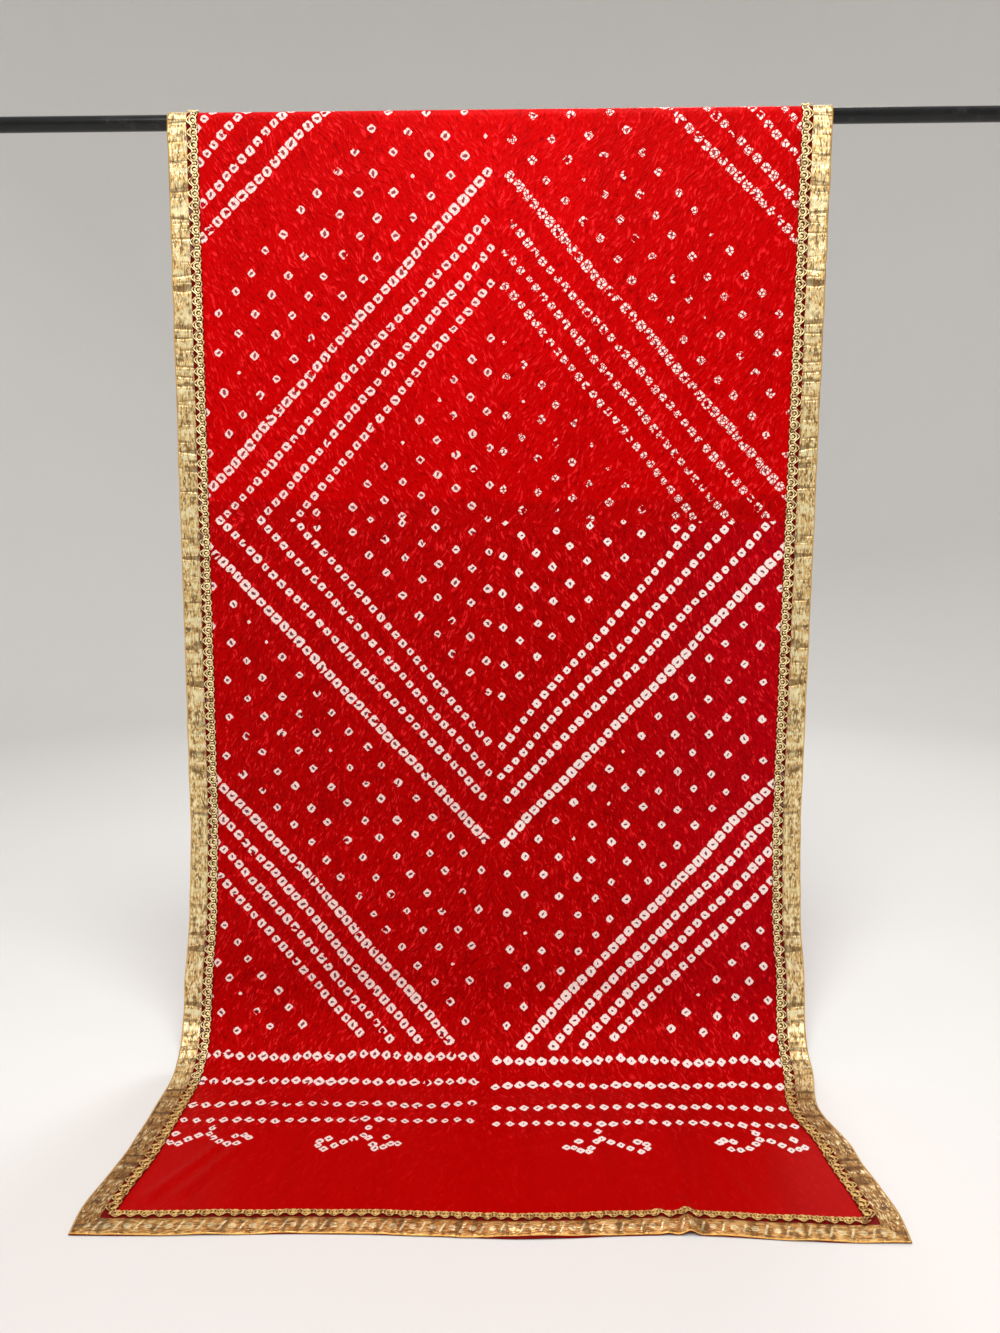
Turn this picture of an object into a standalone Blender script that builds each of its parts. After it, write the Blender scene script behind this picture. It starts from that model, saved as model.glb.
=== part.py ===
"""Bandhani cloth with a gold border, draped over a round rod, its front end lying on the floor.

Metres, +Z up, -Y is the front. The floor is z = 0, and the origin is the middle of the model's base.
The cloth is one sheet. A point on it is named by u, how far it lies across the width from the middle,
and by a row of its side profile, which runs from the back end, up and over the rod, down the front
and out along the floor.
"""

import math

import bmesh
import bpy
from mathutils import Vector

# Cloth
CLOTH_WIDTH = 0.900
CLOTH_THICK = 0.0010
BACK_END_HEIGHT = 0.811  # how high the shorter back layer ends above the floor
FRONT_REACH = 0.437  # from the rod's axis out to the front end on the floor
REACH_SKEW = 0.0076  # extra reach for each metre towards +X: the end lies a little askew
HANG_SLANT = 0.0116  # the sheet hangs slightly aslant: shift to -X for each metre it drops
SLANT_END_HEIGHT = 0.10  # below this the shift stays the same

# Drop and bend at the foot
LEAN_START_HEIGHT = 0.34
LEAN = math.radians(8.0)  # forward lean of the drop between there and the bend
BEND_RADIUS = 0.118

# Rod
ROD_RADIUS = 0.010
ROD_LENGTH = 1.500
ROD_HEIGHT = 1.322  # its axis
ROD_CLEARANCE = 0.002  # between the rod and the cloth over it

# Border: a flat ribbon along the edge, and a looped braid beside it
RIBBON_WIDTH = 0.026
RIBBON_THICK = 0.0010
BRAID_WIDTH = 0.014
BRAID_THICK = 0.0012
BRAID_SPACE = 0.0015  # bare cloth between the ribbon and the braid
GAP = 0.0003  # between pieces that touch
BORDER_BAND = 0.044  # the width kept flat along each edge for the border

# Mesh
ROD_SIDES = 32
ROD_SHARP_ANGLE = math.radians(40)
COLUMNS_INSIDE = 20
BACK_ROWS = 4
WRAP_ROWS = 10
DROP_ROWS = 11
LEAN_ROWS = 3
BEND_ROWS = 8
FLOOR_ROWS = 3

# Broad soft folds of the front drop. They stand out to the front where depth is positive.
FOLDS = [
    {"u": -0.310, "half_width": 0.090, "depth": 0.0035},
    {"u": -0.165, "half_width": 0.085, "depth": -0.0030},
    {"u": -0.040, "half_width": 0.080, "depth": 0.0030},
    {"u": 0.085, "half_width": 0.075, "depth": -0.0035},
    {"u": 0.205, "half_width": 0.085, "depth": 0.0045},
    {"u": 0.330, "half_width": 0.075, "depth": -0.0025},
]
# The front end on the floor is drawn in a little between its corners.
END_DIPS = [
    {"u": -0.170, "half_width": 0.250, "depth": 0.0060},
    {"u": 0.205, "half_width": 0.190, "depth": 0.0090},
]

FOLD_TOP_HEIGHT = 1.20  # folds grow from here down
FOLD_FULL_HEIGHT = 0.80
FOLD_LOW_HEIGHT = 0.40  # and fade from here
FOLD_FOOT_HEIGHT = 0.16  # to nothing here

MATERIALS = {
    "bandhani_red": {"color": (0.62, 0.004, 0.008), "roughness": 0.42, "metallic": 0.0},
    "gold_ribbon": {"color": (0.72, 0.46, 0.16), "roughness": 0.34, "metallic": 0.85},
    "gold_braid": {"color": (0.80, 0.56, 0.24), "roughness": 0.40, "metallic": 0.70},
    "rod_black": {"color": (0.012, 0.012, 0.014), "roughness": 0.22, "metallic": 0.0},
}

WRAP_RADIUS = ROD_RADIUS + ROD_CLEARANCE
HALF_WIDTH = CLOTH_WIDTH / 2
TRIM_LIFT = CLOTH_THICK + GAP
BACK_REACH = WRAP_RADIUS + TRIM_LIFT + BRAID_THICK
ROD_Y = (FRONT_REACH + REACH_SKEW * HALF_WIDTH - BACK_REACH) / 2


def clear_scene():
    for obj in list(bpy.data.objects):
        bpy.data.objects.remove(obj)


def make_material(name):
    values = MATERIALS[name]
    material = bpy.data.materials.new(name)
    material.use_nodes = True
    shader = material.node_tree.nodes["Principled BSDF"]
    shader.inputs["Base Color"].default_value = (*values["color"], 1.0)
    shader.inputs["Roughness"].default_value = values["roughness"]
    shader.inputs["Metallic"].default_value = values["metallic"]
    return material


def smooth_step(low, high, value):
    x = min(max((value - low) / (high - low), 0.0), 1.0)
    return x * x * (3 - 2 * x)


def spread(start, end, count):
    """count points evenly spaced after start, the last of them at end."""
    return [start + (end - start) * (i + 1) / count for i in range(count)]


def side_profile():
    """The sheet's inner face from the side: (forward, height) pairs from the rod's axis and the floor."""
    top_of_band = BACK_END_HEIGHT + BORDER_BAND
    points = [(-WRAP_RADIUS, BACK_END_HEIGHT), (-WRAP_RADIUS, top_of_band)]
    points += [(-WRAP_RADIUS, z) for z in spread(top_of_band, ROD_HEIGHT, BACK_ROWS)]
    for angle in spread(0.0, math.pi, WRAP_ROWS):
        points.append((-WRAP_RADIUS * math.cos(angle), ROD_HEIGHT + WRAP_RADIUS * math.sin(angle)))
    points += [(WRAP_RADIUS, z) for z in spread(ROD_HEIGHT, LEAN_START_HEIGHT, DROP_ROWS)]
    bend_height = BEND_RADIUS * (1 - math.sin(LEAN))
    for z in spread(LEAN_START_HEIGHT, bend_height, LEAN_ROWS):
        points.append((WRAP_RADIUS + (LEAN_START_HEIGHT - z) * math.tan(LEAN), z))
    bend_start = points[-1][0]
    for angle in spread(LEAN, math.pi / 2, BEND_ROWS):
        forward = bend_start + BEND_RADIUS * (math.cos(LEAN) - math.cos(angle))
        points.append((forward, BEND_RADIUS * (1 - math.sin(angle))))
    points[-1] = (points[-1][0], 0.0)
    points += [(x, 0.0) for x in spread(points[-1][0], FRONT_REACH - BORDER_BAND, FLOOR_ROWS)]
    points.append((FRONT_REACH, 0.0))
    return [Vector(point) for point in points]


def offset_vectors(points):
    """For each profile point, the step that lifts both of its segments outwards by one unit."""
    normals = []
    for start, end in zip(points[:-1], points[1:], strict=True):
        along = (end - start).normalized()
        normals.append(Vector((-along.y, along.x)))
    steps = []
    for before, after in zip([normals[0], *normals], [*normals, normals[-1]], strict=True):
        middle = (before + after).normalized()
        steps.append(middle / middle.dot(after))
    return steps


PROFILE = side_profile()
LIFTS = offset_vectors(PROFILE)
LAST_ROW = len(PROFILE) - 1


def swell(table, u):
    """The sum at u of a table's rounded swells, each at its depth at its own u and gone at its half width."""
    total = 0.0
    for row in table:
        away = abs(u - row["u"]) / row["half_width"]
        if away < 1:
            total += row["depth"] * (1 + math.cos(math.pi * away)) / 2
    return total


def fold_depth(u, height):
    grown = smooth_step(FOLD_TOP_HEIGHT, FOLD_FULL_HEIGHT, height)
    left = smooth_step(FOLD_FOOT_HEIGHT, FOLD_LOW_HEIGHT, height)
    return swell(FOLDS, u) * grown * left


def place(u, row, lift):
    """The point at u on a profile row, whole or part of the way to the next, lifted off the inner face."""
    low = min(int(row), LAST_ROW - 1)
    share = row - low
    flat = PROFILE[low].lerp(PROFILE[low + 1], share)
    flat = flat + lift * LIFTS[low].lerp(LIFTS[low + 1], share)
    forward, height = flat
    if forward > 0:
        forward += fold_depth(u, height)
        run_out = max(forward - WRAP_RADIUS, 0.0) / (FRONT_REACH - WRAP_RADIUS)
        forward += (REACH_SKEW * u - swell(END_DIPS, u)) * run_out
        x = u - HANG_SLANT * (ROD_HEIGHT - max(min(height, ROD_HEIGHT), SLANT_END_HEIGHT))
    else:
        x = u
    return Vector((x, ROD_Y - forward, height))


def sheet(name, across, rows, lift, thick, material, collection):
    """A sheet over a grid. across(i, j) and rows(i, j) give the u and the profile row of each grid point."""
    columns, lengths = across["count"], rows["count"]
    bm = bmesh.new()
    bmesh.ops.create_grid(bm, x_segments=columns, y_segments=lengths, size=0.5)
    for vert in bm.verts:
        i = round((vert.co.x + 0.5) * columns)
        j = round((vert.co.y + 0.5) * lengths)
        vert.co = place(across["at"](i, j), rows["at"](i, j), lift)
    bmesh.ops.reverse_faces(bm, faces=bm.faces)
    mesh = bpy.data.meshes.new(name)
    bm.to_mesh(mesh)
    bm.free()
    mesh.shade_smooth()
    mesh.materials.append(material)
    obj = bpy.data.objects.new(name, mesh)
    collection.objects.link(obj)
    wall = obj.modifiers.new("thickness", "SOLIDIFY")
    wall.thickness = thick
    wall.offset = 1.0
    wall.use_even_offset = True
    return obj


def cloth_columns():
    inner = HALF_WIDTH - BORDER_BAND
    return [-HALF_WIDTH, -inner, *spread(-inner, inner, COLUMNS_INSIDE), HALF_WIDTH]


def make_cloth(material, collection):
    us = cloth_columns()
    across = {"count": len(us) - 1, "at": lambda i, j: us[i]}
    rows = {"count": LAST_ROW, "at": lambda i, j: j}
    sheet("cloth", across, rows, 0.0, CLOTH_THICK, material, collection)


def make_side_strip(name, side, outer, inner, thick, material, collection):
    """A strip along a long edge, from outer to inner in from that edge, mitred at both ends."""

    def across(i, j):
        return side * (HALF_WIDTH - (inner if (i == 0) == (side > 0) else outer))

    def rows(i, j):
        cut = (HALF_WIDTH - abs(across(i, j)) + GAP) / BORDER_BAND
        return min(max(j, cut), LAST_ROW - cut)

    sheet(
        name,
        {"count": 1, "at": across},
        {"count": LAST_ROW, "at": rows},
        TRIM_LIFT,
        thick,
        material,
        collection,
    )


def make_end_strip(name, front, outer, inner, thick, material, collection):
    """A strip along the front or the back end, mitred at both ends."""
    us = cloth_columns()

    def edge_distance(j):
        return inner if (j == 0) == front else outer

    def across(i, j):
        reach = HALF_WIDTH - edge_distance(j) - GAP
        return min(max(us[i], -reach), reach)

    def rows(i, j):
        inward = edge_distance(j) / BORDER_BAND
        return LAST_ROW - inward if front else inward

    sheet(
        name,
        {"count": len(us) - 1, "at": across},
        {"count": 1, "at": rows},
        TRIM_LIFT,
        thick,
        material,
        collection,
    )


def make_border(ribbon_material, braid_material, collection):
    braid_start = RIBBON_WIDTH + BRAID_SPACE
    strips = {
        "ribbon": (0.0, RIBBON_WIDTH, RIBBON_THICK, ribbon_material),
        "braid": (braid_start, braid_start + BRAID_WIDTH, BRAID_THICK, braid_material),
    }
    for kind, (outer, inner, thick, material) in strips.items():
        for side_name, side in (("left", -1), ("right", 1)):
            make_side_strip(f"{kind}_{side_name}", side, outer, inner, thick, material, collection)
        for end_name, front in (("front", True), ("back", False)):
            make_end_strip(f"{kind}_{end_name}", front, outer, inner, thick, material, collection)


def make_rod(material, collection):
    bpy.ops.mesh.primitive_cylinder_add(
        vertices=ROD_SIDES,
        radius=ROD_RADIUS,
        depth=ROD_LENGTH,
        location=(0.0, ROD_Y, ROD_HEIGHT),
        rotation=(0.0, math.pi / 2, 0.0),
    )
    rod = bpy.context.object
    rod.name = "rod"
    rod.data.name = "rod"
    rod.data.shade_smooth()
    rod.data.set_sharp_from_angle(angle=ROD_SHARP_ANGLE)
    rod.data.materials.append(material)
    for holder in list(rod.users_collection):
        holder.objects.unlink(rod)
    collection.objects.link(rod)


def main():
    clear_scene()
    collection = bpy.data.collections.new("bandhani_cloth_on_rod")
    bpy.context.scene.collection.children.link(collection)
    materials = {name: make_material(name) for name in MATERIALS}
    make_cloth(materials["bandhani_red"], collection)
    make_border(materials["gold_ribbon"], materials["gold_braid"], collection)
    make_rod(materials["rod_black"], collection)


main()
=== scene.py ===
# Looks of a red bandhani cloth with a gold border, draped over a black rod.
# Everything is in metres: +X along the rod, -Y towards the viewer, +Z up, the floor at 0.
import math

import bpy
from mathutils import Matrix, Vector, noise


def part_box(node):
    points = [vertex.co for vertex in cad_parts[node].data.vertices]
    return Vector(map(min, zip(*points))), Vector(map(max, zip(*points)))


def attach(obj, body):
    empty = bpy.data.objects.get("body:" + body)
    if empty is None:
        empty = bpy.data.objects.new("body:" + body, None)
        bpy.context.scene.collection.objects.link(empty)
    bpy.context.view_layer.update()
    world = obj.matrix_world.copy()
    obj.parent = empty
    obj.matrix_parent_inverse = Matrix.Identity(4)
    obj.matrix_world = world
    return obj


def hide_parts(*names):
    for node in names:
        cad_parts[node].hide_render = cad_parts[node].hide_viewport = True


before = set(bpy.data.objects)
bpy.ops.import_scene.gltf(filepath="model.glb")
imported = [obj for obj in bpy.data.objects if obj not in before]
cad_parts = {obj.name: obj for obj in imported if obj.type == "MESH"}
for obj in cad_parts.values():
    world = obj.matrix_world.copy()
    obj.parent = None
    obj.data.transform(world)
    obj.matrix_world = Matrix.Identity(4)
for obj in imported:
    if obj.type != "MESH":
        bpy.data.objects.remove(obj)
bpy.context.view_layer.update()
print("frame loaded:", len(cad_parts), "nodes")

rodLow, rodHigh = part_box("rod")
rodY = (rodLow.y + rodHigh.y) / 2
rodZ = (rodLow.z + rodHigh.z) / 2


def smoothStep(low, high, value):
    x = min(max((value - low) / (high - low), 0.0), 1.0)
    return x * x * (3 - 2 * x)


def spread(start, end, count):
    return [start + (end - start) * i / count for i in range(count + 1)]


# Rows of a table as dictionaries with the same keys.
def tableOf(keys, *rows):
    return [dict(zip(keys.split(), row)) for row in rows]


def wave(x, y, seed=0.0):
    return noise.noise(Vector((x, y, seed)))


def putInScene(name, data):
    obj = bpy.data.objects.new(name, data)
    bpy.context.scene.collection.objects.link(obj)
    return obj


def finishPiece(obj, slot, *nodes):
    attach(obj, "root")
    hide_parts(*nodes)
    return obj


def operator(operation, isReversed=False):
    def setNode(self, other):
        values = (other, self) if isReversed else (self, other)
        return self.bench.math(operation, *values)

    return setNode


# What a node puts out. Arithmetic on it sets Math nodes, and a comparison gives 1 or 0.
class Signal:
    def __init__(self, bench, socket):
        self.bench = bench
        self.socket = socket

    __add__ = operator("ADD")
    __radd__ = operator("ADD", True)
    __sub__ = operator("SUBTRACT")
    __rsub__ = operator("SUBTRACT", True)
    __mul__ = operator("MULTIPLY")
    __truediv__ = operator("DIVIDE")
    __pow__ = operator("POWER")
    __gt__ = operator("GREATER_THAN")
    __lt__ = operator("LESS_THAN")

    def __abs__(self):
        return self.bench.math("ABSOLUTE", self)


def within(signal, low, high):
    return (signal > low) * (signal < high)


# Sets nodes in one tree and joins them. A plain value goes on the input itself.
class Bench:
    def __init__(self, tree):
        self.tree = tree

    def node(self, kind, **settings):
        made = self.tree.nodes.new(kind)
        for name, value in settings.items():
            setattr(made, name, value)
        return made

    def put(self, target, value):
        if isinstance(value, Signal):
            self.tree.links.new(value.socket, target)
        else:
            target.default_value = value

    # an output of a node, by name or number
    def out(self, made, which=0):
        return Signal(self, made.outputs[which])

    def outs(self, made):
        return {socket.name: Signal(self, socket) for socket in made.outputs}

    def fill(self, made, **values):
        for name, value in values.items():
            self.put(made.inputs[name.replace("_", " ")], value)
        return made

    def math(self, operation, *values):
        made = self.node("ShaderNodeMath", operation=operation)
        for target, value in zip(made.inputs, values):
            self.put(target, value)
        return self.out(made)

    def most(self, a, b):
        return self.math("MAXIMUM", a, b)

    def least(self, a, b):
        return self.math("MINIMUM", a, b)

    def smooth(self, value, low, high):
        made = self.node("ShaderNodeMapRange", interpolation_type="SMOOTHSTEP")
        return self.out(self.fill(made, Value=value, From_Min=low, From_Max=high))

    # second where the mask is 1, first where it is 0
    def choose(self, mask, first, second):
        made = self.node("ShaderNodeMix", data_type="FLOAT")
        for index, value in ((0, mask), (2, first), (3, second)):
            self.put(made.inputs[index], value)
        return self.out(made)

    def tint(self, mask, first, second, blend="MIX"):
        made = self.node("ShaderNodeMix", data_type="RGBA", blend_type=blend)
        for index, value in ((0, mask), (6, first), (7, second)):
            self.put(made.inputs[index], (*value, 1.0) if isinstance(value, tuple) else value)
        return self.out(made, 2)

    # lays colours over the first one, each by its own mask
    def layers(self, color, *rows):
        for row in rows:
            color = self.tint(row[0], color, *row[1:])
        return color

    def join(self, x, y, z=0.0):
        made = self.node("ShaderNodeCombineXYZ")
        return self.out(self.fill(made, X=x, Y=y, Z=z))

    def split(self, vector):
        made = self.node("ShaderNodeSeparateXYZ")
        self.put(made.inputs[0], vector)
        return [self.out(made, index) for index in range(3)]

    def noise(self, vector, scale, detail=2.0, rough=0.5, size="3D"):
        made = self.node("ShaderNodeTexNoise", noise_dimensions=size)
        self.fill(made, Vector=vector, Scale=scale, Detail=detail, Roughness=rough)
        return self.out(made)

    def colorNoise(self, vector, scale):
        made = self.node("ShaderNodeTexNoise", noise_dimensions="2D")
        return self.split(self.out(self.fill(made, Vector=vector, Scale=scale, Detail=1.0), "Color"))

    def random(self, vector):
        made = self.node("ShaderNodeTexWhiteNoise", noise_dimensions="3D")
        self.put(made.inputs["Vector"], vector)
        return self.split(self.out(made, "Color"))

    def group(self, tree, **values):
        made = self.node("ShaderNodeGroup", node_tree=tree)
        return self.outs(self.fill(made, **values))

    def place(self):
        return self.out(self.node("ShaderNodeTexCoord"), "Object")

    def flatPlace(self, name):
        return self.out(self.node("ShaderNodeUVMap", uv_map=name))

    def bump(self, shader, height, distance, strength):
        made = self.node("ShaderNodeBump")
        self.fill(made, Height=height, Distance=distance, Strength=strength)
        self.put(shader.inputs["Normal"], self.out(made))


def newGroup(name, inputs, outputs):
    tree = bpy.data.node_groups.new(name, "ShaderNodeTree")
    for label in inputs:
        tree.interface.new_socket(label, in_out="INPUT", socket_type="NodeSocketFloat")
    for label in outputs:
        tree.interface.new_socket(label, in_out="OUTPUT", socket_type="NodeSocketFloat")
    bench = Bench(tree)
    given = bench.outs(bench.node("NodeGroupInput"))
    return tree, bench, given, bench.node("NodeGroupOutput").inputs


def newMaterial(name):
    material = bpy.data.materials.new(name)
    material.use_nodes = True
    bench = Bench(material.node_tree)
    return material, bench, material.node_tree.nodes["Principled BSDF"]


# The camera.

camera = {
    "lens": 26.0,
    "sensor": 36.0,  # height
    "aside": 0.0164,
    "back": 1.3935,  # in front of the rod
    "height": 0.7432,
    "pitchDown": 7.05,
    "yaw": -0.76,
    "roll": -0.30,
}


def makeCamera():
    data = bpy.data.cameras.new("camera")
    data.sensor_fit = "VERTICAL"
    data.sensor_height = camera["sensor"]
    data.lens = camera["lens"]
    obj = putInScene("camera", data)
    turn = Matrix.Rotation(math.radians(-camera["yaw"]), 4, "Z")
    turn @= Matrix.Rotation(math.radians(90 - camera["pitchDown"]), 4, "X")
    turn @= Matrix.Rotation(math.radians(camera["roll"]), 4, "Z")
    place = Vector((camera["aside"], rodY - camera["back"], camera["height"]))
    obj.matrix_world = Matrix.Translation(place) @ turn
    bpy.context.scene.camera = obj


makeCamera()
print("camera set")

# The stage and its lights.

stage = {
    "radius": 4.6,
    "cove": 1.4,
    "wall": 6.5,
    "color": (0.74, 0.73, 0.71),
    "world": 0.55,
}
lights = tableOf(
    "name place aim size watts",
    ("key", (-0.5, -2.3, 3.1), (0.0, 0.2, 1.0), 1.5, 70),
    ("top", (0.15, -0.60, 2.9), (0.0, 0.1, 0.9), 0.7, 34),
    ("back", (0.8, 2.8, 2.8), (0.0, 0.2, 0.9), 1.6, 45),
)


def makeStage():
    around = 96
    outline = [(0.0, 0.0), (stage["radius"] - stage["cove"], 0.0)]
    for angle in spread(0.0, math.pi / 2, 12)[1:]:
        r = stage["radius"] - stage["cove"] * (1 - math.sin(angle))
        outline.append((r, stage["cove"] * (1 - math.cos(angle))))
    outline.append((stage["radius"], stage["wall"]))
    points = [(0.0, 0.0, 0.0)]
    for r, z in outline[1:]:
        for k in range(around):
            angle = 2 * math.pi * k / around
            points.append((r * math.cos(angle), r * math.sin(angle), z))
    faces = [(0, 1 + k, 1 + (k + 1) % around) for k in range(around)]
    for ring in range(len(outline) - 2):
        low = 1 + ring * around
        for k in range(around):
            nextK = (k + 1) % around
            faces.append((low + k, low + around + k, low + around + nextK, low + nextK))
    mesh = bpy.data.meshes.new("studioFloor")
    mesh.from_pydata(points, [], faces)
    mesh.shade_smooth()
    material, bench, shader = newMaterial("studioPaper")
    place = bench.place()
    mottle = bench.noise(place, 1.5, 3.0)
    low = tuple(0.97 * c for c in stage["color"])
    color = bench.tint(mottle, low, stage["color"])
    bench.fill(shader, Base_Color=color, Roughness=0.9, Specular_IOR_Level=0.1)
    mesh.materials.append(material)
    putInScene("studioFloor", mesh)


def makeLights():
    for row in lights:
        data = bpy.data.lights.new(row["name"], "AREA")
        data.shape = "DISK"
        data.size = row["size"]
        data.energy = row["watts"]
        obj = putInScene(row["name"], data)
        obj.location = row["place"]
        aim = Vector(row["aim"]) - Vector(row["place"])
        obj.rotation_euler = aim.to_track_quat("-Z", "Y").to_euler()
    world = bpy.data.worlds.new("studio")
    world.use_nodes = True
    sky = world.node_tree.nodes["Background"]
    sky.inputs["Color"].default_value = (1.0, 0.99, 0.97, 1.0)
    sky.inputs["Strength"].default_value = stage["world"]
    bpy.context.scene.world = world
    bpy.context.scene.view_settings.view_transform = "Standard"


makeStage()
makeLights()
print("stage and lights set")

# The drape: where a point of the flat cloth lies.
# u is how far a point is across the flat cloth from its middle, and s how far along it from the
# line that lies on top of the rod, towards the front end.

drape = {
    "halfWidth": 0.450,
    "wrapRadius": 0.0108,  # the inner face, round the rod's axis
    "backEndHeight": 0.811,
    "leanStart": 0.34,
    "lean": math.radians(8.0),
    "bendRadius": 0.118,
    "reach": 0.437,
    "reachSkew": 0.0076,
    "slant": 0.0116,
    "slantEnd": 0.10,
    "thick": 0.0005,
    "lift": 0.0003,  # inner face above the CAD sheet's own inner face
}
folds = tableOf(
    "u halfWidth depth",
    (-0.310, 0.090, 0.0035),
    (-0.165, 0.085, -0.0030),
    (-0.040, 0.080, 0.0030),
    (0.085, 0.075, -0.0035),
    (0.205, 0.085, 0.0045),
    (0.330, 0.075, -0.0025),
)
endDips = tableOf(
    "u halfWidth depth",
    (-0.170, 0.250, 0.0060),
    (0.205, 0.190, 0.0090),
)
# Where a side edge wanders in or out from its straight course, down at the foot.
edgeDrifts = tableOf(
    "side s halfLength shift",
    (-1, 1.250, 0.130, -0.0060),
    (-1, 1.640, 0.110, -0.0100),
    (1, 1.240, 0.110, 0.0065),
    (1, 1.440, 0.090, -0.0150),
    (1, 1.640, 0.110, 0.0100),
)
foldHeights = {"top": 1.20, "full": 0.80, "low": 0.40, "foot": 0.16}

quarter = drape["wrapRadius"] * math.pi / 2
bendTop = drape["bendRadius"] * (1 - math.sin(drape["lean"]))
leanLength = (drape["leanStart"] - bendTop) / math.cos(drape["lean"])
bendLength = drape["bendRadius"] * (math.pi / 2 - drape["lean"])
leanForward = drape["wrapRadius"] + (drape["leanStart"] - bendTop) * math.tan(drape["lean"])
floorForward = leanForward + drape["bendRadius"] * math.cos(drape["lean"])
# Where each stretch of the front ends, in s.
dropEnd = quarter + rodZ - drape["leanStart"]
leanEnd = dropEnd + leanLength
bendEnd = leanEnd + bendLength
frontEnd = bendEnd + drape["reach"] - floorForward
backEnd = -(quarter + rodZ - drape["backEndHeight"])
foldRow = 0.5553  # the cloth was folded across here, and along its middle, when it was tied


# The inner face from the side: forward of the rod, height, and how far its outward normal is
# turned up from facing forward.
def sideAt(s):
    r = drape["wrapRadius"]
    if s < -quarter:
        return -r, rodZ - (-s - quarter), math.pi
    if s < quarter:
        angle = s / r
        return r * math.sin(angle), rodZ + r * math.cos(angle), math.pi / 2 - angle
    if s < dropEnd:
        return r, rodZ - (s - quarter), 0.0
    if s < leanEnd:
        down = s - dropEnd
        lean = drape["lean"]
        return r + down * math.sin(lean), drape["leanStart"] - down * math.cos(lean), lean
    if s < bendEnd:
        angle = drape["lean"] + (s - leanEnd) / drape["bendRadius"]
        out = math.cos(drape["lean"]) - math.cos(angle)
        return (
            leanForward + drape["bendRadius"] * out,
            drape["bendRadius"] * (1 - math.sin(angle)),
            angle,
        )
    return floorForward + s - bendEnd, 0.0, math.pi / 2


def swell(table, u):
    total = 0.0
    for row in table:
        away = abs(u - row["u"]) / row["halfWidth"]
        if away < 1:
            total += row["depth"] * (1 + math.cos(math.pi * away)) / 2
    return total


def driftAt(u, s):
    side = 1 if u > 0 else -1
    total = 0.0
    for row in edgeDrifts:
        away = abs(s - row["s"]) / row["halfLength"]
        if row["side"] == side and away < 1:
            total += row["shift"] * (1 + math.cos(math.pi * away)) / 2
    return total * smoothStep(0.22, 0.44, abs(u))


# Creases and soft troughs, listed one by one. Each runs along its own line: turn is in degrees from
# straight down the cloth, and a depth above 0 is a ridge.
creases = tableOf(
    "u s turn length width depth",
    (0.000, 0.560, 0, 2.60, 0.0050, -0.0010),
    (0.012, 0.560, 0, 2.60, 0.0090, 0.0006),
    (0.000, 0.5553, 90, 1.20, 0.0050, -0.0009),
    (0.000, 0.5400, 90, 1.20, 0.0080, 0.0005),
    (-0.100, 1.207, 90, 0.60, 0.0060, 0.0008),
    (-0.020, 0.700, 1, 0.90, 0.0160, 0.0012),
    (0.060, 0.350, -1, 0.60, 0.0150, -0.0010),
    (0.255, 0.750, 0, 0.80, 0.0200, 0.0016),
    (0.300, 0.900, 2, 0.70, 0.0140, -0.0014),
    (-0.230, 0.850, -2, 0.70, 0.0180, 0.0012),
    (-0.330, 1.000, 1, 0.60, 0.0160, -0.0012),
    (-0.362, 1.570, -24, 0.15, 0.0050, 0.0030),
    (-0.335, 1.575, -22, 0.12, 0.0045, 0.0024),
    (0.002, 1.590, 3, 0.13, 0.0045, 0.0026),
    (0.284, 1.585, 14, 0.09, 0.0040, 0.0018),
    (0.232, 1.600, 20, 0.08, 0.0050, 0.0018),
    (-0.060, 1.600, -8, 0.08, 0.0060, 0.0012),
    (0.222, 1.670, 0, 0.11, 0.0075, 0.0055),
    (0.196, 1.672, 12, 0.07, 0.0060, 0.0022),
)


def creaseAt(u, s):
    total = 0.0
    for row in creases:
        turn = math.radians(row["turn"])
        du, ds = u - row["u"], s - row["s"]
        across = du * math.cos(turn) - ds * math.sin(turn)
        if abs(across) > 3 * row["width"]:
            continue
        along = du * math.sin(turn) + ds * math.cos(turn)
        fade = smoothStep(row["length"] / 2, row["length"] / 3, abs(along))
        total += row["depth"] * fade * math.exp(-((across / row["width"]) ** 2))
    return total


crumple = {
    "pleat": 0.0012,  # slow upright pleats
    "pleatScale": (22, 1.6),
    "crinkle": 0.0007,  # the short crinkles that tying left
    "crinkleScale": (55, 22),
    "crinkleLean": 0.084,  # they slant away from the folds
    "endCalm": 0.25,  # what is left of the crinkles on the plain end
    "endSpan": (0.94, 0.99),
    "rodSpan": (0.012, 0.06),  # the cloth is smooth over the rod
    "floorLift": 0.0006,
}


# How far the sheet stands off its smooth course, along its outward normal.
def reliefAt(u, s, tilt):
    v = abs(s - foldRow)
    side = 1.0 if u > 0 else -1.0
    calm = 1 - (1 - crumple["endCalm"]) * smoothStep(*crumple["endSpan"], v)
    byRod = smoothStep(*crumple["rodSpan"], abs(s))
    wide, tall = crumple["pleatScale"]
    pleat = crumple["pleat"] * wave(u * wide, s * tall, 3.1)
    wide, tall = crumple["crinkleScale"]
    across = u + crumple["crinkleLean"] * side * v
    crinkle = crumple["crinkle"] * wave(across * wide, s * tall, 7.7 + side)
    relief = (pleat + crinkle * calm + creaseAt(u, s)) * byRod
    if tilt > math.radians(60) and s > 0:  # near the floor it only stands up from it
        relief = max(relief + crumple["floorLift"], 0.0)
    return relief


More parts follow.
